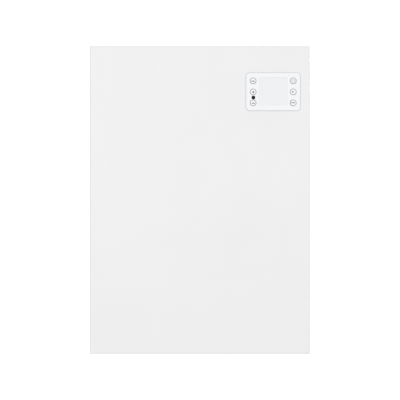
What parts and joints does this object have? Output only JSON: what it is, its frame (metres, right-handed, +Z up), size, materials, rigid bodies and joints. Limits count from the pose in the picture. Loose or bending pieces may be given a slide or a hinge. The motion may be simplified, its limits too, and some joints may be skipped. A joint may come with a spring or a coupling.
{
  "type": "convector heater",
  "caption": "Slim upright wall convector with a flat folded-steel front, a flush control module with round keys and a blank screen, bladed top outlet, slotted inlet and a hook-on wall bracket.",
  "frame": {"origin": "centre of the four wall holes, on the wall plane", "axes": "+X to the viewer's right facing the heater, +Y into the wall, +Z up"},
  "size_m": [0.4, 0.0999, 0.56],
  "materials": {
    "powder_white": "powder coat, fine texture",
    "casing_white": "powder coat, satin",
    "bezel_white": "fine matt",
    "key_white": "satin",
    "screen": "anti-glare, blank",
    "black_lens": "gloss",
    "board_green": "satin",
    "galvanised": "spangled zinc",
    "bright_steel": "zinc plated",
    "aluminium": "bright",
    "ceramic": "matt",
    "rubber_black": "matt",
    "gasket_grey": "closed-cell foam",
    "plastic_black": "fine matt",
    "plastic_grey": "fine matt",
    "plastic_white": "satin",
    "brass": "bright",
    "lead_brown": "satin",
    "lead_white": "satin",
    "lead_earth": "satin",
    "lead_grey": "satin",
    "transformer_yellow": "satin"
  },
  "bodies": {
    "wall_bracket": {"bracket_rail_top": "galvanised", "bracket_rail_bottom": "galvanised", "bracket_straps": "galvanised", "latch_rivet": "bright_steel"},
    "heater": {"front_panel": "powder_white", "panel_angles": "galvanised", "panel_screws": "bright_steel", "rear_casing": "casing_white", "front_baffle": "galvanised", "casing_screws": "bright_steel", "partition": "galvanised", "wire_grommet": "rubber_black", "outlet_frame": "casing_white", "outlet_blades": "casing_white", "inlet_grille": "casing_white", "reflector_plate": "aluminium", "heating_element": "aluminium", "element_rod": "bright_steel", "element_bushes": "ceramic", "element_brackets": "galvanised", "element_screws": "bright_steel", "element_terminals": "bright_steel", "thermal_cutout": "plastic_black", "control_bezel": "bezel_white", "bezel_gasket": "gasket_grey", "display_window": "screen", "display_panel": "plastic_white", "control_board": "board_green", "tact_switches": "plastic_black", "sensor_lens": "black_lens", "infrared_receiver": "black_lens", "control_housing": "plastic_white", "module_screws": "bright_steel", "power_board": "board_green", "board_standoffs": "brass", "board_screws": "bright_steel", "board_components": "plastic_black", "power_transformer": "transformer_yellow", "terminal_block": "plastic_grey", "terminal_screws": "bright_steel", "mains_switch_body": "plastic_black", "switch_terminals": "brass", "cable_gland": "plastic_white", "gland_nut": "plastic_white", "sensor_pod": "plastic_white", "air_sensor": "plastic_black", "switch_leads": "lead_brown", "element_leads": "lead_white", "earth_lead": "lead_earth", "ribbon_cable": "lead_grey", "sensor_lead": "lead_grey", "wall_buffers": "rubber_black"},
    "latch": {"bracket_latch": "bright_steel"},
    "rocker": {"mains_rocker": "plastic_black"},
    "key_minus": {"key_minus": "key_white"},
    "key_plus": {"key_plus": "key_white"},
    "key_comfort": {"key_comfort": "key_white"},
    "key_power": {"key_power": "key_white"},
    "key_run": {"key_run": "key_white"},
    "key_menu": {"key_menu": "key_white"}
  },
  "joints": [
    {"name": "lift_off", "type": "slide", "parent": "wall_bracket", "child": "heater", "axis": [0, 0, 1], "range_m": [0, 0.012]},
    {"name": "latch_turn", "type": "hinge", "parent": "wall_bracket", "child": "latch", "pos_m": [0, -0.0093, 0.205], "axis": [0, 1, 0], "range_deg": [0, 40]},
    {"name": "switch_rock", "type": "hinge", "parent": "heater", "child": "rocker", "pos_m": [0.186, -0.048, -0.215], "axis": [0, -1, 0], "range_deg": [0, 20]},
    {"name": "key_minus_press", "type": "slide", "parent": "heater", "child": "key_minus", "axis": [0, 1, 0], "range_m": [0, 0.0008], "stiffness_N_per_m": 500, "springref_m": -0.001},
    {"name": "key_plus_press", "type": "slide", "parent": "heater", "child": "key_plus", "axis": [0, 1, 0], "range_m": [0, 0.0008], "stiffness_N_per_m": 500, "springref_m": -0.001},
    {"name": "key_comfort_press", "type": "slide", "parent": "heater", "child": "key_comfort", "axis": [0, 1, 0], "range_m": [0, 0.0008], "stiffness_N_per_m": 500, "springref_m": -0.001},
    {"name": "key_power_press", "type": "slide", "parent": "heater", "child": "key_power", "axis": [0, 1, 0], "range_m": [0, 0.0008], "stiffness_N_per_m": 500, "springref_m": -0.001},
    {"name": "key_run_press", "type": "slide", "parent": "heater", "child": "key_run", "axis": [0, 1, 0], "range_m": [0, 0.0008], "stiffness_N_per_m": 500, "springref_m": -0.001},
    {"name": "key_menu_press", "type": "slide", "parent": "heater", "child": "key_menu", "axis": [0, 1, 0], "range_m": [0, 0.0008], "stiffness_N_per_m": 500, "springref_m": -0.001}
  ],
  "couplings": [
    {"joint": "latch_turn", "follows": "lift_off", "rad_per_m": 58.032}
  ]
}
